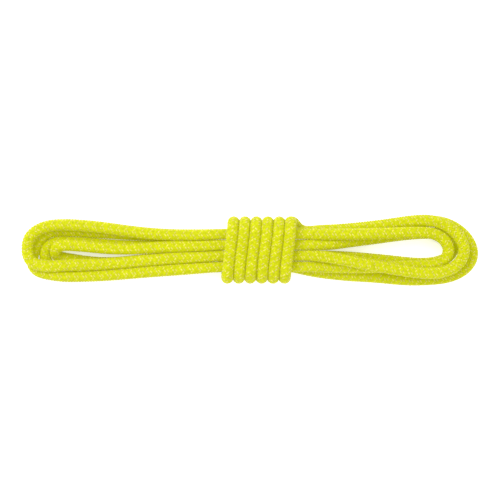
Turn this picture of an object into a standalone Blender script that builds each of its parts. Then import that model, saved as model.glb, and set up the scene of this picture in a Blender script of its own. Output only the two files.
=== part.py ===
"""A short length of 6 mm kernmantle cord, folded into a flat hank and tied with turns of its own end.

The coiled lengths of the cord are plain closed solids of their outer shape: the folded hank, and the
wrap round its middle. Only the tail leaves the wrap. It is built as the cord really is, a hollow
sheath with core strands inside and a melted seal on its end.

+X runs along the hank, +Z is up, and the hank lies on Z = 0. Sizes are in metres, outlines in MM.
"""

import math

import bmesh
import bpy
import numpy as np
from mathutils import Matrix, Vector

MM = 0.001
CORD_R = 3.0 * MM

# the wrap: turns side by side round the middle of the hank, measured on a turn's middle line
TURNS = 6
TURN_PITCH = 5.7 * MM
FIRST_TURN_X = 20.4 * MM           # on the +Y side, where the first turn begins
WRAP_HALF_WIDTH = 13.85 * MM
WRAP_HALF_HEIGHT = 8.62 * MM
WRAP_CORNER_R = 6.1 * MM
WRAP_SLANT = TURN_PITCH / 2        # a turn leans back by this much across the top
CORNER_STEPS = 6
RIDGE_FLAT = 1.2 * MM              # half width of the flat along the crest of a turn
RIDGE_SHOULDER = (2.1 * MM, 0.45 * MM)
GROOVE_DEPTH = 1.3 * MM

# the folded hank from above, from the +X end of the waist round the right loops and back
HANK_OUTLINE = [
    (24.2, 10.6), (29, 12.1), (37, 12.9), (48, 13.5), (60, 14.7), (74, 16.6), (88, 17.8), (98, 16.6),
    (106, 13.0), (111.2, 8.1), (114.3, 2.6), (114.7, -2.8), (112.5, -9.0), (107.6, -13.5),
    (100, -16.5), (90, -17.8), (78, -17.9), (62, -16.6), (48, -15.7), (37, -14.4), (29, -12.8),
    (23, -10.9), (10, -10.4), (-8, -10.4), (-20, -11.2), (-40, -13.1), (-58, -14.5), (-72, -15.6),
    (-84, -16.1), (-94, -16.0), (-102.5, -14.9), (-109, -12.0), (-112.7, -6.4), (-114.4, -0.6),
    (-113.9, 5.2), (-111, 10.0), (-105, 13.9), (-96, 15.6), (-84, 15.3), (-72, 14.0), (-58, 12.1),
    (-40, 10.6), (-20, 10.6), (-8, 10.4), (10, 10.4),
]
# the eye that the right loops leave open
EYE_OUTLINE = [
    (47, 1.0), (56, 2.1), (67, 3.6), (79, 4.9), (88, 5.2), (94.2, 3.5), (96.3, 0), (94.4, -3.0),
    (87, -4.1), (75, -2.9), (61, -1.6), (47, -0.6),
]
# heights along X: the loops lie down, and the wrap under the waist lifts it
UNDERSIDE = [(-116, 0), (-76, 0), (-58, 2.2), (-46, 4.9), (-38, 6.35), (29, 6.35), (42, 4.3), (56, 1.4),
             (70, 0), (116, 0)]
TOP = [(-116, 11.9), (-94, 13.4), (-74, 13.4), (-56, 14.6), (-40, 16.4), (-20, 16.9), (60, 16.9),
       (82, 15.6), (100, 13.2), (116, 11.9)]
OUTLINE_STEP = 5.0 * MM
CUT_STEP = 8.0 * MM
EDGE_ROUND = 2.9 * MM
EDGE_STEPS = 2
TALL = 1.0                         # height of the solid before it is shaped, only to tell top from bottom

# the tail: where the cord leaves the wrap and lies under the hank, middle line
TAIL_ROUTE = [(-14.4, -3.3, 3.0), (-19.2, -1.1, 3.0), (-23.5, -0.35, 3.0), (-29.0, -0.4, 3.0),
              (-34.6, -0.5, 3.0)]
TAIL_POINTS = 6
TUBE_RESOLUTION = 4                # 12 sides
STRAND_RESOLUTION = 2              # 8 sides
SHEATH_WALL = 0.9 * MM
CORE_STRANDS = 5
STRAND_R = 0.52 * MM
STRAND_CIRCLE_R = 1.15 * MM
CORE_RECESS = 1.3 * MM             # how far the strands stop short of the sheath's end
SEAL_SIDES = 24
# the melted seal, turned round the cord's line: distance past the sheath's end, and radius
SEAL_PROFILE = [(-1.0, 1.7), (0.3, 1.7), (0.3, 2.8), (1.15, 2.8), (1.6, 2.5), (1.8, 1.9)]

SHEATH_YELLOW = (0.72, 0.80, 0.004)
CORE_WHITE = (0.86, 0.86, 0.82)
SEAL_YELLOW = (0.42, 0.44, 0.02)


def clear_scene():
    for obj in list(bpy.data.objects):
        bpy.data.objects.remove(obj, do_unlink=True)


def paint(obj, colour, roughness):
    material = bpy.data.materials.new(obj.name + "_finish")
    material.use_nodes = True
    shader = material.node_tree.nodes["Principled BSDF"]
    shader.inputs["Base Color"].default_value = (*colour, 1.0)
    shader.inputs["Roughness"].default_value = roughness
    shader.inputs["Metallic"].default_value = 0.0
    obj.data.materials.append(material)
    return obj


def add_object(name, data):
    obj = bpy.data.objects.new(name, data)
    bpy.context.scene.collection.objects.link(obj)
    return obj


def add_mesh(name, bm):
    """The bmesh as a named object, its faces turned outward."""
    bmesh.ops.recalc_face_normals(bm, faces=bm.faces)
    mesh = bpy.data.meshes.new(name)
    bm.to_mesh(mesh)
    bm.free()
    return add_object(name, mesh)


def cubic_spline(points, knots):
    """Natural cubic spline through the points, as a function of the knot parameter."""
    h = np.diff(knots)
    slopes = np.diff(points, axis=0) / h[:, None]
    system = np.eye(len(points))
    turn = np.zeros_like(points)
    for i in range(1, len(points) - 1):
        system[i, i - 1:i + 2] = h[i - 1], 2 * (h[i - 1] + h[i]), h[i]
        turn[i] = 6 * (slopes[i] - slopes[i - 1])
    second = np.linalg.solve(system, turn)

    def at(t):
        i = np.clip(np.searchsorted(knots, t, side="right") - 1, 0, len(h) - 1)
        width = h[i][:, None]
        after = (t - knots[i])[:, None]
        before = width - after
        bend = (second[i] * before ** 3 + second[i + 1] * after ** 3) / (6 * width)
        near = (points[i] / width - second[i] * width / 6) * before
        far = (points[i + 1] / width - second[i + 1] * width / 6) * after
        return bend + near + far

    return at


def smooth_points(route, count, closed=False):
    """Points, evenly spaced, on a smooth curve through the route's own points."""
    points = np.array(route, float)
    overlap = 3 if closed else 0
    if closed:
        points = np.vstack([points[-overlap:], points, points[:overlap + 1]])
    knots = np.concatenate([[0.0], np.cumsum(np.linalg.norm(np.diff(points, axis=0), axis=1) ** 0.5)])
    at = cubic_spline(points, knots)
    first, last = knots[overlap], knots[len(knots) - 1 - overlap]
    fine_knots = np.linspace(first, last, 4000)
    fine = at(fine_knots)
    run = np.concatenate([[0.0], np.cumsum(np.linalg.norm(np.diff(fine, axis=0), axis=1))])
    wanted = np.linspace(0.0, run[-1], count, endpoint=not closed)
    return at(np.interp(wanted, run, fine_knots))


def bridge(bm, rings, closed):
    """Quads between each ring of vertices and the next."""
    pairs = list(zip(rings, rings[1:]))
    if closed:
        pairs.append((rings[-1], rings[0]))
    for a, b in pairs:
        for i in range(len(a)):
            j = (i + 1) % len(a)
            bm.faces.new((a[i], a[j], b[j], b[i]))


def loop_edges(ring):
    return [a.link_edges[[e.other_vert(a) for e in a.link_edges].index(b)]
            for a, b in zip(ring, ring[1:] + ring[:1])]


def outline_points(outline):
    points = np.array(outline) * MM
    length = np.linalg.norm(np.roll(points, -1, axis=0) - points, axis=1).sum()
    return smooth_points(points, round(length / OUTLINE_STEP), closed=True)


def inset(points, distance):
    """The closed outline moved inwards, for an outline that runs clockwise seen from above."""
    along = np.roll(points, -1, axis=0) - np.roll(points, 1, axis=0)
    along /= np.linalg.norm(along, axis=1)[:, None]
    inward = np.stack([along[:, 1], -along[:, 0]], axis=1)
    return points + distance * inward


def flat_ring(bm, points, z):
    return [bm.verts.new((x, y, z)) for x, y in points]


def hank_rings(bm):
    """Outer rings from the underside's flat to the top's flat, round at both edges."""
    outline = outline_points(HANK_OUTLINE)
    rounding = []
    for step in range(EDGE_STEPS + 1):
        angle = math.pi / 2 * step / EDGE_STEPS
        rounding.append((EDGE_ROUND * (1 - math.sin(angle)), EDGE_ROUND * (1 - math.cos(angle))))
    lower = [flat_ring(bm, inset(outline, side), rise) for side, rise in rounding]
    upper = [flat_ring(bm, inset(outline, side), TALL - rise) for side, rise in reversed(rounding)]
    return lower + upper


def heights_along(profile, x):
    stations = np.array(profile) * MM
    return float(np.interp(x, stations[:, 0], stations[:, 1]))


def folded_hank():
    """Outer shape of the eight strands: an extruded outline with round ends, lifted at the waist."""
    bm = bmesh.new()
    rings = hank_rings(bm)
    bridge(bm, rings, closed=False)
    eye = outline_points(EYE_OUTLINE)
    eye_rings = [flat_ring(bm, eye, 0.0), flat_ring(bm, eye, TALL)]
    bridge(bm, eye_rings, closed=False)
    for outer_ring, eye_ring in ((rings[0], eye_rings[0]), (rings[-1], eye_rings[-1])):
        bmesh.ops.triangle_fill(bm, use_beauty=True, edges=loop_edges(outer_ring) + loop_edges(eye_ring))
    end = max(v.co.x for v in bm.verts)
    for x in np.arange(-end + CUT_STEP / 2, end, CUT_STEP):
        geometry = bm.verts[:] + bm.edges[:] + bm.faces[:]
        bmesh.ops.bisect_plane(bm, geom=geometry, dist=1e-6, plane_co=(x, 0, 0), plane_no=(1, 0, 0))
    for v in bm.verts:
        if v.co.z < TALL / 2:
            v.co.z = heights_along(UNDERSIDE, v.co.x) + v.co.z
        else:
            v.co.z = heights_along(TOP, v.co.x) - (TALL - v.co.z)
    return add_mesh("folded_hank", bm)


def wrap_path():
    """Round the waist from the +Y side over the top: points of a turn's middle line, and outwards there."""
    flat_y, flat_z = WRAP_HALF_WIDTH - WRAP_CORNER_R, WRAP_HALF_HEIGHT - WRAP_CORNER_R
    path = []
    for quarter, (cy, cz) in enumerate([(1, 1), (-1, 1), (-1, -1), (1, -1)]):
        for step in range(CORNER_STEPS + 1):
            angle = math.pi / 2 * (quarter + step / CORNER_STEPS)
            out = Vector((0, math.cos(angle), math.sin(angle)))
            path.append((Vector((0, cy * flat_y, cz * flat_z)) + WRAP_CORNER_R * out, out))
    return path


def wrap_section():
    """The coil's outline across its turns: x, and distance out from a turn's middle line."""
    last_turn_x = FIRST_TURN_X - (TURNS - 1) * TURN_PITCH
    shoulder, shoulder_drop = RIDGE_SHOULDER
    section = [(last_turn_x - CORD_R, -CORD_R), (last_turn_x - CORD_R, 0.0)]
    for turn in range(TURNS):
        x = last_turn_x + turn * TURN_PITCH
        section += [(x - shoulder, CORD_R - shoulder_drop), (x - RIDGE_FLAT, CORD_R)]
        section += [(x + RIDGE_FLAT, CORD_R), (x + shoulder, CORD_R - shoulder_drop)]
        if turn < TURNS - 1:
            section.append((x + TURN_PITCH / 2, CORD_R - GROOVE_DEPTH))
    return section + [(FIRST_TURN_X + CORD_R, 0.0), (FIRST_TURN_X + CORD_R, -CORD_R)]


def wrap_coil():
    """Outer shape of the six turns, leaning as they do across the top."""
    bm = bmesh.new()
    centre = Vector((0, 0, CORD_R + WRAP_HALF_HEIGHT))
    rings = []
    for middle, out in wrap_path():
        lean = WRAP_SLANT * (WRAP_HALF_WIDTH - middle.y) / (2 * WRAP_HALF_WIDTH)
        rings.append([bm.verts.new(centre + middle + out * height + Vector((x - lean, 0, 0)))
                      for x, height in wrap_section()])
    bridge(bm, rings, closed=True)
    return add_mesh("wrap_coil", bm)


def add_tube(name, points, radius, resolution, filled):
    curve = bpy.data.curves.new(name, "CURVE")
    curve.dimensions = "3D"
    curve.bevel_depth = radius
    curve.bevel_resolution = resolution
    curve.use_fill_caps = filled
    spline = curve.splines.new("POLY")
    spline.points.add(len(points) - 1)
    for spline_point, point in zip(spline.points, points):
        spline_point.co = (*point, 1.0)
    return add_object(name, curve)


def tail_line():
    """The tail's middle line with a sideways direction at each point."""
    points = smooth_points(np.array(TAIL_ROUTE) * MM, TAIL_POINTS)
    along = np.gradient(points, axis=0)
    along /= np.linalg.norm(along, axis=1)[:, None]
    sideways = np.cross((0, 0, 1), along)
    return points, along, sideways


def tail_sheath(points):
    sheath = add_tube("tail_sheath", points, CORD_R, TUBE_RESOLUTION, filled=False)
    wall = sheath.modifiers.new("wall", "SOLIDIFY")
    wall.thickness = SHEATH_WALL
    wall.offset = -1.0
    wall.use_rim = True
    return sheath


def core_strand(number, points, along, sideways):
    angle = 2 * math.pi * (number - 1) / CORE_STRANDS
    offset = STRAND_CIRCLE_R * (math.cos(angle) * sideways + math.sin(angle) * np.array((0, 0, 1)))
    line = points + offset
    line[-1] -= CORE_RECESS * along[-1]
    return add_tube(f"core_strand_{number}", line, STRAND_R, STRAND_RESOLUTION, filled=True)


def tail_end_seal(end, direction):
    """The melted plug that closes the tail: a neck in the bore and a rounded head."""
    bm = bmesh.new()
    rings = []
    for past_end, radius in SEAL_PROFILE:
        ring = []
        for side in range(SEAL_SIDES):
            angle = 2 * math.pi * side / SEAL_SIDES
            ring.append(bm.verts.new((radius * math.cos(angle) * MM, radius * math.sin(angle) * MM,
                                      past_end * MM)))
        rings.append(ring)
    bridge(bm, rings, closed=False)
    bm.faces.new(rings[0])
    bm.faces.new(rings[-1])
    turn = Vector(direction).to_track_quat("Z", "Y").to_matrix().to_4x4()
    bmesh.ops.transform(bm, matrix=Matrix.Translation(Vector(end)) @ turn, verts=bm.verts)
    return add_mesh("tail_end_seal", bm)


def build():
    clear_scene()
    paint(folded_hank(), SHEATH_YELLOW, 0.75)
    paint(wrap_coil(), SHEATH_YELLOW, 0.75)
    points, along, sideways = tail_line()
    paint(tail_sheath(points), SHEATH_YELLOW, 0.75)
    for number in range(1, CORE_STRANDS + 1):
        paint(core_strand(number, points, along, sideways), CORE_WHITE, 0.6)
    paint(tail_end_seal(points[-1], along[-1]), SEAL_YELLOW, 0.35)


build()
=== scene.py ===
"""The looks of the hank: one 6 mm kernmantle cord, its braided sheath made yarn by yarn.

The cord's middle line runs through eight strands at the waist, four loops at each end, six turns round
the waist and a short tail. The sheath's yarns wind round that line in both directions, two over two
under, and half of them carry a reflective tracer. Lengths are in millimetres, apart from the view's,
the ground's, the lights' and the bump's, which are in metres.
"""

import math

import bpy
import numpy as np
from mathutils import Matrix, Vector


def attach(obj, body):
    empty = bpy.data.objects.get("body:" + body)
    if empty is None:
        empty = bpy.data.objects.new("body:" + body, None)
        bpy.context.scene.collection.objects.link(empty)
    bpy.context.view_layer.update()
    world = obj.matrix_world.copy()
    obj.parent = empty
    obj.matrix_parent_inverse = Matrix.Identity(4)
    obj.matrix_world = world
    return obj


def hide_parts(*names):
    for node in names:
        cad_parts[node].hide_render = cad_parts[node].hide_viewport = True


MM = 0.001
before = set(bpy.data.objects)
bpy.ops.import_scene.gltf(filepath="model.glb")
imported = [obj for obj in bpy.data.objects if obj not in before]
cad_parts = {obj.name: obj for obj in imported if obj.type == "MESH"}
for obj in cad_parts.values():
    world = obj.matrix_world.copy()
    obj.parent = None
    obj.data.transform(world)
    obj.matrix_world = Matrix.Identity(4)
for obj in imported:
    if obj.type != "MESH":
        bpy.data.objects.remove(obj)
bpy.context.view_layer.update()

CORD_DIAMETER = 6.0
CORD_R = CORD_DIAMETER / 2

# heights of the strands' middle lines: on the ground, on a strand, and in the waist's two layers
LO, UP, MID, TOP = 3.0, 8.8, 8.75, 14.35

HANK_ROUTE = [
    # from the sealed start inside the waist, round left loop 1
    (-7.6, -2.7, TOP), (-14, -2.9, TOP), (-25, -3.5, 14.35), (-40, -4.3, 13.35), (-58, -5.8, 11.45),
    (-72, -6.9, 10.75), (-84, -7.5, 10.95), (-94, -7.8, 11.45), (-103.2, -7.9, 11.35),
    (-109.9, -4.9, 10.15), (-111.5, 1.2, UP), (-110, 6.6, UP), (-105, 10.6, UP), (-98, 12.4, UP),
    (-86, 12.4, UP), (-72, 11, 8.95), (-58, 9.1, 10.35), (-40, 7.6, 13.05), (-25, 7.5, 14.25),
    (-14, 7.9, TOP),
    # waist
    (-4, 8, TOP), (8, 8, TOP), (20, 8, TOP),
    # right loop 1
    (32, 7.9, 14.35), (46, 7.9, 14.15), (62, 8.1, 13.15), (76, 8.7, 11.75), (85.5, 8.9, 10.45),
    (91.8, 8.1, 9.45), (97, 5.1, 8.85), (99.3, -0.1, UP), (97.2, -5, UP), (91.6, -7.6, UP), (82, -8, UP),
    (70, -8.4, UP), (58, -8.7, 8.85), (46, -8.7, 9.35), (36, -8.4, 11.05), (28, -8.3, 13.15),
    (20, -8.1, TOP),
    # waist
    (8, -8.1, TOP), (-4, -8.1, TOP), (-14, -8.4, TOP),
    # left loop 2, under loop 1
    (-25, -9.1, 14.25), (-40, -10.1, 12.75), (-58, -11.5, 10.45), (-72, -12.6, 9.35), (-84, -13.1, 8.95),
    (-93, -13.1, 8.55), (-100.6, -12.2, 7.75), (-107, -10.1, 6.05), (-109.5, -5.6, 4.25),
    (-108.4, -0.1, 3.05), (-106, 4.9, LO), (-101.3, 8.7, LO), (-95, 9.8, LO), (-84, 9.3, LO),
    (-72, 8.6, 3.05),
    (-58, 7.8, 4.45), (-40, 7.5, 7.25), (-25, 7.7, 8.65), (-14, 8, MID),
    # waist, lower layer
    (-4, 8, MID), (8, 8, MID), (20, 8.1, MID),
    # right loop 2, ending over loop 1
    (29, 9.2, 8.75), (42, 10, 8.75), (58, 11.4, UP), (72, 13.2, UP), (86, 14.8, UP), (96, 13.2, UP),
    (103.5, 7.8, UP), (107, 1, UP), (105.6, -5, 9.55), (100.4, -9.4, 11.65), (93, -11.4, 13.05),
    (85, -11.3, 13.65), (75, -10, 14.25), (62, -7.7, 14.65), (48, -5.1, 14.85),
    (34, -3, 14.65), (22, -2.75, TOP),
    # waist, moving over a slot
    (14, -2.6, TOP), (8, -1.3, TOP), (2, 0.9, TOP), (-4, 2.3, TOP),
    # left loop 3
    (-14, 2.5, TOP), (-25, 2, 14.25), (-40, 1.6, 13.35), (-58, 0.7, 10.55), (-72, 0.9, 9.15),
    (-83, 1.9, 9.1), (-88.6, 2.3, 9.3), (-92.7, 2.4, 9.3), (-96.2, 1.4, 8.4), (-97.6, -0.9, 6.25),
    (-96.2, -3.2, 4.1), (-92.4, -4.3, 3.2), (-84, -5.6, LO), (-72, -6.5, 3.05),
    (-58, -5.5, 4.75), (-40, -3.9, 7.45),
    (-25, -3.1, 8.75), (-14, -2.8, MID),
    # waist, lower layer
    (-4, -2.75, MID), (8, -2.8, MID), (20, -2.9, MID),
    # right loop 3, under the others
    (32, -3, 7.95), (46, -3.5, 5.45), (60, -4.5, 3.45), (74, -5.9, LO), (84, -6.8, LO), (91.5, -6.5, LO),
    (98.2, -4.4, LO), (101.9, -0.3, LO), (101.4, 4.2, LO), (96.8, 7.5, LO), (90, 8.5, LO), (78, 7.8, LO),
    (64, 6, 4.35), (50, 4.2, 8.05), (38, 2.8, 11.95), (27, 2.6, 14.15),
    # waist, sinking to the lower layer
    (20, 2.6, 13.45), (13.5, 2.6, 11.35), (7, 2.6, 9.45), (-1, 2.6, 8.8),
    # left loop 4
    (-14, 2.6, MID), (-25, 2.4, 8.75), (-40, 1.9, 7.65), (-58, 1.9, 4.65), (-72, 2.6, 3.05),
    (-82, 3.4, LO), (-90, 3.8, LO), (-97, 3.9, LO), (-102.1, 1, LO), (-103, -3.8, LO),
    (-99.7, -8.7, LO), (-93, -11.3, LO), (-84, -11.9, LO), (-72, -12.3, 3.05), (-58, -11.3, 4.45),
    (-40, -9.8, 7.05), (-25, -8.8, 8.55), (-14, -8.3, MID),
    # waist, lower layer
    (-4, -8.2, MID), (8, -8.2, MID), (20, -8.5, MID),
    # right loop 4, then up to the first turn
    (28, -10.1, 7.75), (38, -11.6, 5.15), (50, -12.8, 3.35), (64, -13.7, LO), (78, -14.9, LO),
    (90, -14.8, LO), (99, -13.7, LO), (106.4, -10.7, LO), (110.9, -6, LO), (111.9, -1, LO),
    (110.1, 4.4, LO), (105.2, 9.8, LO), (98, 13.5, LO), (88, 14.6, LO), (74, 13.3, LO), (60, 11.5, LO),
    (46, 10, LO), (36, 9.8, LO), (27.6, 9.4, LO), (23.7, 11.4, 4), (21.7, 13.7, 7.2),
]
TAIL_ROUTE = [(-14.4, -3.3, 3.0), (-19.2, -1.1, 3.0), (-23.5, -0.35, 3.0), (-29.0, -0.4, 3.0),
              (-34.6, -0.5, 3.0)]

# the turns round the waist
TURN_PITCH = 5.7
FIRST_TURN_X = 20.4
WRAP_HALF_WIDTH = 13.85
WRAP_HALF_HEIGHT = 8.62
WRAP_CORNER_R = 6.1
WRAPPED_TURNS = 5.65               # the last turn ends under the hank
POINTS_PER_TURN = 16
TURN_LEAN = 0.035                  # the turns lean along the hank, once and twice in a turn, as shares
TURN_SWAY = 0.045                  # of the pitch

# the wrap squeezes the strands inside it: full between the inner pair of X, none past the outer pair
SQUEEZE_X = (-38.0, -16.0, 24.0, 42.0)
UNSQUEEZED_POINTS = 12             # the route's last ones before the first turn, which lead up to it
SQUEEZE_WIDTH = 0.89
SQUEEZE_HEIGHT = 0.935
SQUEEZE_CORNERS = 0.08             # squeezed strands bulge into the corners between their neighbours

# stations along the cord
FINE_STEPS = 60000                 # to measure the spline's length
STATION_STEP = 0.346               # from one row of the yarns' points to the next
STATIONS_PER_PATH_POINT = 6        # from one point of the cord's path to the next

# the braid
YARNS_PER_HAND = 12
LEAD = 16.6                        # along the cord for one turn of a yarn
YARN_WIDTH = 0.90
YARN_MID_R = 2.63
YARN_WEAVE = 0.19                  # how far a yarn rises over and dips under
TRACER_LIFT = 0.09                 # a tracer stands proud of its yarn in the middle of each over
TRACER_DIP = 0.22                  # and sinks back into the yarn towards the ends
WEAVE_FLATNESS = 1.6               # how abruptly a yarn rises, and so how long it stays up or down
FLOATS = 6                         # lengthwise columns of raised yarns of one hand
TRACER_GROUP = 3                   # of every three yarns of a hand,
TRACERS_IN_GROUP = {1: 2, -1: 1}   # two of the right hand and one of the left carry a tracer
YARNS_PER_PIECE = 3
TRACERS_PER_PIECE = 4
UV_STEP = (7.3, 31.0)              # sets each yarn's filaments apart from its neighbours'

# across as a share of the yarn's width, and height over the yarn's own radius
YARN_SECTION = [(-0.5, -0.26), (-0.3, 0.04), (0.0, 0.15), (0.3, 0.04), (0.5, -0.26)]
TRACER_SECTION = [(-0.27, 0.01), (-0.14, 0.12), (0.14, 0.12), (0.27, 0.01)]

# the sheath's inner face, the core and the melted ends
LINING_R = 2.28
LINING_SIDES = 16
LINING_STEP = 1.4
CORE_STRANDS = 5
CORE_STRAND_R = 0.52
CORE_CIRCLE_R = 1.15
CORE_SIDES = 8
CORE_LEAD = 60.0
# distance past the cord's end, and radius
SEAL_PROFILE = [(-1.0, 1.7), (0.1, 2.0), (0.15, 2.75), (0.5, 2.95), (1.0, 2.9), (1.45, 2.55), (1.75, 1.9),
                (1.85, 1.0)]
SEAL_SIDES = 48
SEAL_WAVES = ((3, 0.02, 0.0), (7, 0.015, 1.0))     # ragged rim: waves, share of the radius, start
SEAL_DOME = 0.05                   # how far the middle of the seal stands past its last ring

# the view is straight down, a quarter of a metre across
VIEW_WIDTH = 0.250
VIEW_HEIGHT_ABOVE = 1.0
VIEW_LEVEL = 0.010                 # the height at which the view is that wide
SENSOR_MM = 36.0

# the ground, and each light's place, size and power
GROUND_SIZE = 6.0
SKY_STRENGTH = 0.85
KEY_LIGHT = ((-0.55, 0.45, 0.85), 0.7, 9.0)
FILL_LIGHT = ((0.7, -0.5, 0.9), 1.2, 4.0)

# the yarns' surface
BUMP_HEIGHT = 0.0001
FILAMENT_WAVES = 1.6               # how fast the filaments change along a yarn, per millimetre
DYE_PATCHES = 900.0                # how fast the dye changes from place to place, per metre
DYE_CONTRAST = (0.7, 1.25)         # sums of both noises that give the deep and the full colour
ROUGHNESS_SPREAD = 0.12
YARN_SHEEN = 0.1
YARN_SHEEN_ROUGHNESS = 0.4
YARN_SHEEN_TINT = (0.9, 1.0, 0.1)
YARN_SPECULAR = 0.15

# the cord's colours; its glows are painted light that lifts the shade in the gaps between strands
YELLOW = (0.52, 0.54, 0.0)
YELLOW_DEEP = (0.29, 0.31, 0.0)
# painted light, lifting the shade in the gaps between strands
PAINTED_GAP_LIGHT = (0.175, 0.18, 0.0)
TRACER_SILVER = (0.74, 0.66, 0.15)
# painted light on the tracers
TRACER_PAINTED_LIGHT = (0.10, 0.09, 0.0)
TRACER_DARK = (0.40, 0.34, 0.12)
# the sheath's inner face is darker than the yarns: painted shade for the depths between yarns
SHADED_LINING_YELLOW = (0.30, 0.32, 0.0)
SHADED_LINING_DARK = (0.20, 0.22, 0.0)
CORE_WHITE = (0.86, 0.86, 0.82)
CORE_GREY = (0.76, 0.76, 0.70)
SEAL_YELLOW = (0.42, 0.44, 0.02)
SEAL_DARK = (0.24, 0.25, 0.01)
NO_GLOW = (0.0, 0.0, 0.0)
GROUND_WHITE = (0.97, 0.97, 0.97)
GROUND_GLOW = (0.36, 0.36, 0.46)


# --- camera, light and ground ---------------------------------------------------------------------

def add_camera():
    data = bpy.data.cameras.new("camera")
    data.sensor_width = SENSOR_MM
    data.lens = SENSOR_MM * (VIEW_HEIGHT_ABOVE - VIEW_LEVEL) / VIEW_WIDTH
    camera = bpy.data.objects.new("camera", data)
    camera.location = (0, 0, VIEW_HEIGHT_ABOVE)
    bpy.context.scene.collection.objects.link(camera)
    bpy.context.scene.camera = camera


def add_area_light(name, place, size, power):
    data = bpy.data.lights.new(name, "AREA")
    data.shape = "DISK"
    data.size = size
    data.energy = power
    light = bpy.data.objects.new(name, data)
    light.location = place
    light.rotation_euler = (-Vector(place)).to_track_quat("-Z", "Y").to_euler()
    bpy.context.scene.collection.objects.link(light)


def add_stage():
    bpy.ops.mesh.primitive_plane_add(size=GROUND_SIZE)
    ground = bpy.context.object
    ground.name = "ground"
    ground.data.materials.append(plain_material("ground_paper", GROUND_WHITE, 0.9, GROUND_GLOW))
    add_area_light("key", *KEY_LIGHT)
    add_area_light("fill", *FILL_LIGHT)
    world = bpy.data.worlds.new("studio")
    world.use_nodes = True
    background = world.node_tree.nodes["Background"]
    background.inputs["Color"].default_value = (1, 1, 1, 1)
    background.inputs["Strength"].default_value = SKY_STRENGTH
    bpy.context.scene.world = world
    bpy.context.scene.view_settings.view_transform = "Standard"


# --- materials ------------------------------------------------------------------------------------

def principled(name):
    material = bpy.data.materials.new(name)
    material.use_nodes = True
    return material, material.node_tree.nodes, material.node_tree.links


def set_glow(shader, glow):
    shader.inputs["Emission Color"].default_value = (*glow, 1)
    shader.inputs["Emission Strength"].default_value = 1.0


def add_noise(nodes, scale):
    noise = nodes.new("ShaderNodeTexNoise")
    noise.inputs["Scale"].default_value = scale
    noise.inputs["Detail"].default_value = 2.0
    return noise


def add_blend(nodes, colours):
    """Mix node between two colours: inputs 6 and 7 are its colours, and output 2 is the result."""
    blend = nodes.new("ShaderNodeMix")
    blend.data_type = "RGBA"
    blend.inputs[6].default_value = (*colours[0], 1)
    blend.inputs[7].default_value = (*colours[1], 1)
    return blend


def add_bump(nodes, strength):
    bump = nodes.new("ShaderNodeBump")
    bump.inputs["Strength"].default_value = strength
    bump.inputs["Distance"].default_value = BUMP_HEIGHT
    return bump


def plain_material(name, colour, roughness, glow):
    material, nodes, _ = principled(name)
    shader = nodes["Principled BSDF"]
    shader.inputs["Base Color"].default_value = (*colour, 1)
    shader.inputs["Roughness"].default_value = roughness
    set_glow(shader, glow)
    return material


def yarn_material(name, colours, glow, roughness, filaments):
    """Fine filaments along the yarn, and a slow change of colour from place to place."""
    material, nodes, links = principled(name)
    shader = nodes["Principled BSDF"]
    # the glow is painted light that lifts the shade in the gaps between strands
    set_glow(shader, glow)
    shader.inputs["Sheen Weight"].default_value = YARN_SHEEN
    shader.inputs["Sheen Roughness"].default_value = YARN_SHEEN_ROUGHNESS
    shader.inputs["Sheen Tint"].default_value = (*YARN_SHEEN_TINT, 1)
    shader.inputs["Specular IOR Level"].default_value = YARN_SPECULAR
    uv = nodes.new("ShaderNodeUVMap")
    uv.uv_map = "along_yarn"
    stretch = nodes.new("ShaderNodeMapping")
    stretch.inputs["Scale"].default_value = (filaments, FILAMENT_WAVES, 1.0)
    fibre = add_noise(nodes, 1.0)
    place = nodes.new("ShaderNodeTexCoord")
    patches = add_noise(nodes, DYE_PATCHES)
    both = nodes.new("ShaderNodeMath")
    both.operation = "ADD"
    contrast = nodes.new("ShaderNodeMapRange")
    contrast.inputs["From Min"].default_value = DYE_CONTRAST[0]
    contrast.inputs["From Max"].default_value = DYE_CONTRAST[1]
    blend = add_blend(nodes, colours)
    rough = nodes.new("ShaderNodeMapRange")
    rough.inputs["To Min"].default_value = roughness - ROUGHNESS_SPREAD
    rough.inputs["To Max"].default_value = roughness + ROUGHNESS_SPREAD
    bump = add_bump(nodes, 0.8)
    links.new(uv.outputs["UV"], stretch.inputs["Vector"])
    links.new(stretch.outputs["Vector"], fibre.inputs["Vector"])
    links.new(place.outputs["Object"], patches.inputs["Vector"])
    links.new(fibre.outputs["Fac"], both.inputs[0])
    links.new(patches.outputs["Fac"], both.inputs[1])
    links.new(both.outputs[0], contrast.inputs["Value"])
    links.new(contrast.outputs["Result"], blend.inputs["Factor"])
    links.new(blend.outputs[2], shader.inputs["Base Color"])
    links.new(fibre.outputs["Fac"], rough.inputs["Value"])
    links.new(rough.outputs["Result"], shader.inputs["Roughness"])
    links.new(fibre.outputs["Fac"], bump.inputs["Height"])
    links.new(bump.outputs["Normal"], shader.inputs["Normal"])
    return material


def solid_material(name, colours, glow, roughness, grain):
    """A melted or plain surface with a little unevenness."""
    material, nodes, links = principled(name)
    shader = nodes["Principled BSDF"]
    set_glow(shader, glow)
    shader.inputs["Roughness"].default_value = roughness
    place = nodes.new("ShaderNodeTexCoord")
    noise = add_noise(nodes, grain)
    blend = add_blend(nodes, colours)
    bump = add_bump(nodes, 0.4)
    links.new(place.outputs["Object"], noise.inputs["Vector"])
    links.new(noise.outputs["Fac"], blend.inputs["Factor"])
    links.new(blend.outputs[2], shader.inputs["Base Color"])
    links.new(noise.outputs["Fac"], bump.inputs["Height"])
    links.new(bump.outputs["Normal"], shader.inputs["Normal"])
    return material


# --- the cord's middle line -----------------------------------------------------------------------

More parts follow.
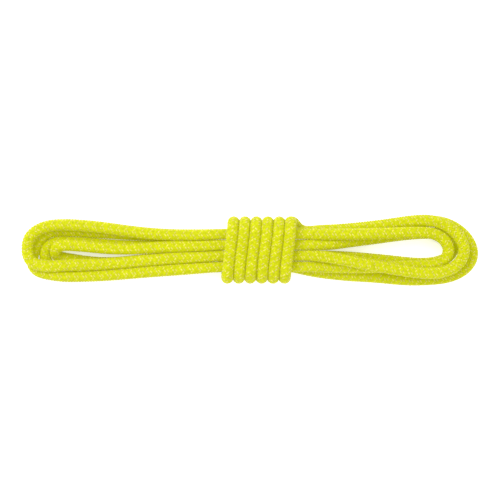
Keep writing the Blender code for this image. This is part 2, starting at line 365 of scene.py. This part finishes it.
def wrap_profile(share):
    """A point of the wrap's rounded rectangle, from the +Y side over the top and back underneath."""
    flat_y = WRAP_HALF_WIDTH - WRAP_CORNER_R
    flat_z = WRAP_HALF_HEIGHT - WRAP_CORNER_R
    bend = math.pi / 2 * WRAP_CORNER_R
    centre = [(1, 1), (-1, 1), (-1, -1), (1, -1)]
    sides = [2 * flat_y, 2 * flat_z, 2 * flat_y, 2 * flat_z]
    run = (share % 1.0) * (sum(sides) + 4 * bend) - flat_z
    if run < 0:
        return WRAP_HALF_WIDTH, flat_z + run
    for quarter in range(4):
        cy, cz = centre[quarter]
        if run < bend:
            angle = math.pi / 2 * quarter + run / WRAP_CORNER_R
            y = cy * flat_y + WRAP_CORNER_R * math.cos(angle)
            z = cz * flat_z + WRAP_CORNER_R * math.sin(angle)
            return y, z
        run -= bend
        if run < sides[quarter]:
            angle = math.pi / 2 * (quarter + 1)
            y = cy * flat_y + WRAP_CORNER_R * math.cos(angle) + run * math.cos(angle + math.pi / 2)
            z = cz * flat_z + WRAP_CORNER_R * math.sin(angle) + run * math.sin(angle + math.pi / 2)
            return y, z
        run -= sides[quarter]
    return WRAP_HALF_WIDTH, 0.0


def wrap_route():
    """Points of the turns: round the wrap's outline, and along the hank by one pitch in each turn."""
    points = []
    for step in range(int(WRAPPED_TURNS * POINTS_PER_TURN) + 1):
        turn = step / POINTS_PER_TURN
        y, z = wrap_profile(turn)
        lean = TURN_LEAN * (1 - math.cos(2 * math.pi * turn)) - TURN_SWAY * math.sin(4 * math.pi * turn)
        points.append((FIRST_TURN_X - TURN_PITCH * (turn + lean), y, z + CORD_R + WRAP_HALF_HEIGHT))
    return points


def cubic_spline(points, knots):
    """Natural cubic spline through the points, as a function of the knot parameter."""
    h = np.diff(knots)
    slopes = np.diff(points, axis=0) / h[:, None]
    system = np.eye(len(points))
    turn = np.zeros_like(points)
    for i in range(1, len(points) - 1):
        system[i, i - 1:i + 2] = h[i - 1], 2 * (h[i - 1] + h[i]), h[i]
        turn[i] = 6 * (slopes[i] - slopes[i - 1])
    second = np.linalg.solve(system, turn)

    def at(t):
        i = np.clip(np.searchsorted(knots, t, side="right") - 1, 0, len(h) - 1)
        width = h[i][:, None]
        after = (t - knots[i])[:, None]
        before = width - after
        bend = (second[i] * before ** 3 + second[i + 1] * after ** 3) / (6 * width)
        near = (points[i] / width - second[i] * width / 6) * before
        far = (points[i + 1] / width - second[i + 1] * width / 6) * after
        return bend + near + far

    return at


def middle_line():
    """Stations evenly spaced on the cord, their distance from its start, and which are in the hank."""
    route = np.array(HANK_ROUTE + wrap_route() + TAIL_ROUTE, float)
    knots = np.concatenate([[0.0], np.cumsum(np.linalg.norm(np.diff(route, axis=0), axis=1) ** 0.5)])
    at = cubic_spline(route, knots)
    fine_knots = np.linspace(0.0, knots[-1], FINE_STEPS)
    fine = at(fine_knots)
    run = np.concatenate([[0.0], np.cumsum(np.linalg.norm(np.diff(fine, axis=0), axis=1))])
    count = int(run[-1] / STATION_STEP) + 1
    distance = np.linspace(0.0, run[-1], count)
    where = np.interp(distance, run, fine_knots)
    return at(where), distance, where < knots[len(HANK_ROUTE) - UNSQUEEZED_POINTS]


def carried_frames(points):
    """Tangents, and two directions across the cord that turn with it and never twist round it."""
    along = np.gradient(points, axis=0)
    along /= np.linalg.norm(along, axis=1)[:, None]
    side = np.cross((0, 0, 1), along[0])
    side /= np.linalg.norm(side)
    first = np.empty_like(points)
    for i, direction in enumerate(along):
        side = side - direction * np.dot(side, direction)
        side = side / np.linalg.norm(side)
        first[i] = side
    return along, first, np.cross(along, first)


def squeeze_share(points, in_hank):
    """How much the wrap squeezes the cord at each station, from 0 to 1."""
    x = points[:, 0]
    rise = np.clip((x - SQUEEZE_X[0]) / (SQUEEZE_X[1] - SQUEEZE_X[0]), 0, 1)
    fall = np.clip((SQUEEZE_X[3] - x) / (SQUEEZE_X[3] - SQUEEZE_X[2]), 0, 1)
    share = np.minimum(rise, fall) * in_hank
    return share * share * (3 - 2 * share)


class Cord:
    """The middle line with all that the pieces need to be laid round it."""

    def __init__(self):
        self.points, self.distance, in_hank = middle_line()
        self.along, self.first, self.second = carried_frames(self.points)
        self.squeeze = squeeze_share(self.points, in_hank)
        upward = np.array((0.0, 0.0, 1.0)) - self.along * self.along[:, 2:3]
        size = np.linalg.norm(upward, axis=1)[:, None]
        self.upward = upward / np.maximum(size, 1e-6)
        self.level = np.cross(self.upward, self.along)

    def around(self, radius, angle, stations=slice(None)):
        """Points at a radius and angle round the middle line, with the wrap's squeeze applied."""
        across = (np.cos(angle)[:, None] * self.first[stations]
                  + np.sin(angle)[:, None] * self.second[stations]) * np.asarray(radius)[..., None]
        upward, level, share = self.upward[stations], self.level[stations], self.squeeze[stations]
        sideways, rise = (across * level).sum(1), (across * upward).sum(1)
        corner = (2 * sideways * rise / (sideways ** 2 + rise ** 2)) ** 2
        bulge = 1 + share * SQUEEZE_CORNERS * corner
        narrow = (share * (1 - SQUEEZE_WIDTH) * sideways)[:, None] * level
        flat = (share * (1 - SQUEEZE_HEIGHT) * rise)[:, None] * upward
        return self.points[stations] + bulge[:, None] * (across - narrow - flat)


# --- meshes ---------------------------------------------------------------------------------------

def add_mesh(name, points_mm, faces, uv, material):
    """A smooth mesh from arrays of points, four-cornered faces and a texture place for each point."""
    mesh = bpy.data.meshes.new(name)
    faces = np.asarray(faces, np.int32)
    mesh.vertices.add(len(points_mm))
    mesh.vertices.foreach_set("co", (np.asarray(points_mm) * MM).astype(np.float32).ravel())
    mesh.loops.add(faces.size)
    mesh.loops.foreach_set("vertex_index", faces.ravel())
    mesh.polygons.add(len(faces))
    mesh.polygons.foreach_set("loop_start", np.arange(0, faces.size, 4, dtype=np.int32))
    mesh.update(calc_edges=True)
    mesh.polygons.foreach_set("use_smooth", np.ones(len(faces), bool))
    layer = mesh.uv_layers.new(name="along_yarn")
    layer.data.foreach_set("uv", np.asarray(uv, np.float32)[faces.ravel()].ravel())
    mesh.materials.append(material)
    mesh.validate()
    obj = bpy.data.objects.new(name, mesh)
    bpy.context.scene.collection.objects.link(obj)
    return obj


def strip_faces(rows, columns, closed, start):
    """Faces between neighbouring rows of a grid of points, closed into a tube or left as a strip."""
    row = np.arange(rows - 1)[:, None] * columns
    column = np.arange(columns if closed else columns - 1)[None, :]
    beside = (column + 1) % columns
    corners = [row + column, row + beside, row + columns + beside, row + columns + column]
    return np.stack(corners, axis=-1).reshape(-1, 4) + start


def yarn_line(cord, hand, number, is_tracer):
    """Angle round the cord and radius of one yarn at every station."""
    angle = 2 * math.pi * (hand * cord.distance / LEAD + number / YARNS_PER_HAND)
    rise = hand * np.cos(FLOATS * angle + math.pi / 4)
    radius = YARN_MID_R + YARN_WEAVE * np.clip(WEAVE_FLATNESS * rise, -1, 1)
    if is_tracer:
        radius += np.maximum(TRACER_LIFT - TRACER_DIP * (1 - rise), -TRACER_LIFT)
    return angle, radius


def yarn_strip(cord, hand, number, section, is_tracer):
    """The yarn's arched strip: a row of points across it at every station."""
    angle, radius = yarn_line(cord, hand, number, is_tracer)
    lean = math.atan2(2 * math.pi * YARN_MID_R, LEAD)
    rows = []
    for across, height in section:
        sideways = across * YARN_WIDTH / math.cos(lean) / YARN_MID_R
        rows.append(cord.around(radius + height, angle + sideways))
    points = np.stack(rows, axis=1)
    u = np.tile([across for across, _ in section], len(cord.distance))
    v = np.repeat(cord.distance, len(section))
    return points.reshape(-1, 3), np.stack([u, v], axis=1)


def yarn_piece(name, cord, hand, numbers, material, is_tracer=False):
    """One mesh of several yarns of one hand, or of the tracers on them."""
    section = TRACER_SECTION if is_tracer else YARN_SECTION
    points, uvs, faces = [], [], []
    for number in numbers:
        strip, uv = yarn_strip(cord, hand, number, section, is_tracer)
        faces.append(strip_faces(len(cord.distance), len(section), False, sum(map(len, points))))
        points.append(strip)
        uvs.append(uv + number * np.array(UV_STEP))
    return add_mesh(name, np.vstack(points), np.vstack(faces), np.vstack(uvs), material)


def tube_piece(name, cord, lines, radius, sides, step, material, turn=0.0):
    """Tubes that follow the cord at a distance from its middle line, such as its core strands."""
    last = len(cord.distance) - 1
    stations = np.unique(np.linspace(0, last, int(cord.distance[-1] / step)).astype(int))
    points, faces = [], []
    spin = turn * cord.distance[stations]
    for circle_r, start in lines:
        rows = []
        for side in range(sides):
            angle = 2 * math.pi * side / sides
            x = circle_r * np.cos(start + spin) + radius * math.cos(angle)
            y = circle_r * np.sin(start + spin) + radius * math.sin(angle)
            rows.append(cord.around(np.hypot(x, y), np.arctan2(y, x), stations))
        faces.append(strip_faces(len(stations), sides, True, sum(map(len, points))))
        points.append(np.stack(rows, axis=1).reshape(-1, 3))
    everything = np.vstack(points)
    return add_mesh(name, everything, np.vstack(faces), everything[:, :2], material)


def seal_piece(name, cord, station, direction, material):
    """The melted plug on an end of the cord."""
    angles = np.linspace(0, 2 * math.pi, SEAL_SIDES, endpoint=False)
    ring = (np.cos(angles)[:, None] * cord.first[station]
            + np.sin(angles)[:, None] * cord.second[station])
    ragged = 1 + sum(share * np.sin(waves * angles + start) for waves, share, start in SEAL_WAVES)
    outward = direction * cord.along[station]
    rows = []
    for past_end, radius in SEAL_PROFILE:
        middle = cord.points[station] + outward * past_end
        rows.append(middle + ring * (radius * ragged)[:, None])
    tip = rows[-1].mean(0) + outward * SEAL_DOME
    rows.append(np.tile(tip, (SEAL_SIDES, 1)))
    points = np.vstack(rows)
    faces = strip_faces(len(rows), SEAL_SIDES, True, 0)
    return add_mesh(name, points, faces, points[:, :2], material)


# --- the build ------------------------------------------------------------------------------------

def build_sheath(cord, sheath_yarn, tracer_yarn):
    """Yarns of both hands, and the tracers that some of them carry, in pieces of a few yarns each."""
    pieces = []
    for hand, word in ((1, "right"), (-1, "left")):
        for first in range(0, YARNS_PER_HAND, YARNS_PER_PIECE):
            numbers = range(first, first + YARNS_PER_PIECE)
            name = f"sheath_yarns_{word}_{first // YARNS_PER_PIECE + 1}"
            pieces.append(yarn_piece(name, cord, hand, numbers, sheath_yarn))
        carriers = [n for n in range(YARNS_PER_HAND) if n % TRACER_GROUP < TRACERS_IN_GROUP[hand]]
        for first in range(0, len(carriers), TRACERS_PER_PIECE):
            numbers = carriers[first:first + TRACERS_PER_PIECE]
            name = f"tracer_yarns_{word}_{first // TRACERS_PER_PIECE + 1}"
            pieces.append(yarn_piece(name, cord, hand, numbers, tracer_yarn, is_tracer=True))
    return pieces


def build():
    add_camera()
    # the glows given to the cord's materials are painted light that lifts the shade between strands
    sheath_yarn = yarn_material("sheath_yarn", (YELLOW_DEEP, YELLOW), PAINTED_GAP_LIGHT, roughness=0.6,
                                filaments=7.0)
    tracer_yarn = yarn_material("tracer_yarn", (TRACER_DARK, TRACER_SILVER), TRACER_PAINTED_LIGHT, roughness=0.4,
                                filaments=5.0)
    core_yarn = solid_material("core_yarn", (CORE_GREY, CORE_WHITE), NO_GLOW, roughness=0.6, grain=800.0)
    # the inner face's darker yellow is painted shade between the yarns
    shaded_lining_yarn = solid_material("shaded_lining_yarn", (SHADED_LINING_DARK, SHADED_LINING_YELLOW), PAINTED_GAP_LIGHT, roughness=0.8,
                                 grain=900.0)
    melted = solid_material("melted_end", (SEAL_DARK, SEAL_YELLOW), PAINTED_GAP_LIGHT, roughness=0.3, grain=500.0)
    cord = Cord()
    sheath = build_sheath(cord, sheath_yarn, tracer_yarn)
    lining = tube_piece("sheath_inside", cord, [(0.0, 0.0)], LINING_R, LINING_SIDES, LINING_STEP,
                        shaded_lining_yarn)
    strands = [(CORE_CIRCLE_R, 2 * math.pi * n / CORE_STRANDS) for n in range(CORE_STRANDS)]
    core = tube_piece("core_strands", cord, strands, CORE_STRAND_R, CORE_SIDES, LINING_STEP, core_yarn,
                      2 * math.pi / CORE_LEAD)
    far_seal = seal_piece("tail_end_melted", cord, -1, 1, melted)
    near_seal = seal_piece("start_end_melted", cord, 0, -1, melted)
    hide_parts("folded_hank", "wrap_coil", "tail_sheath")
    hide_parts(*[f"core_strand_{n + 1}" for n in range(CORE_STRANDS)])
    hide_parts("tail_end_seal")
    others = [*sheath[1:], lining, core, far_seal, near_seal]
    for piece in [sheath[0], *others]:
        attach(piece, "root")
    path = cord.points[::STATIONS_PER_PATH_POINT] * MM
    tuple(path[0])
    add_stage()


build()
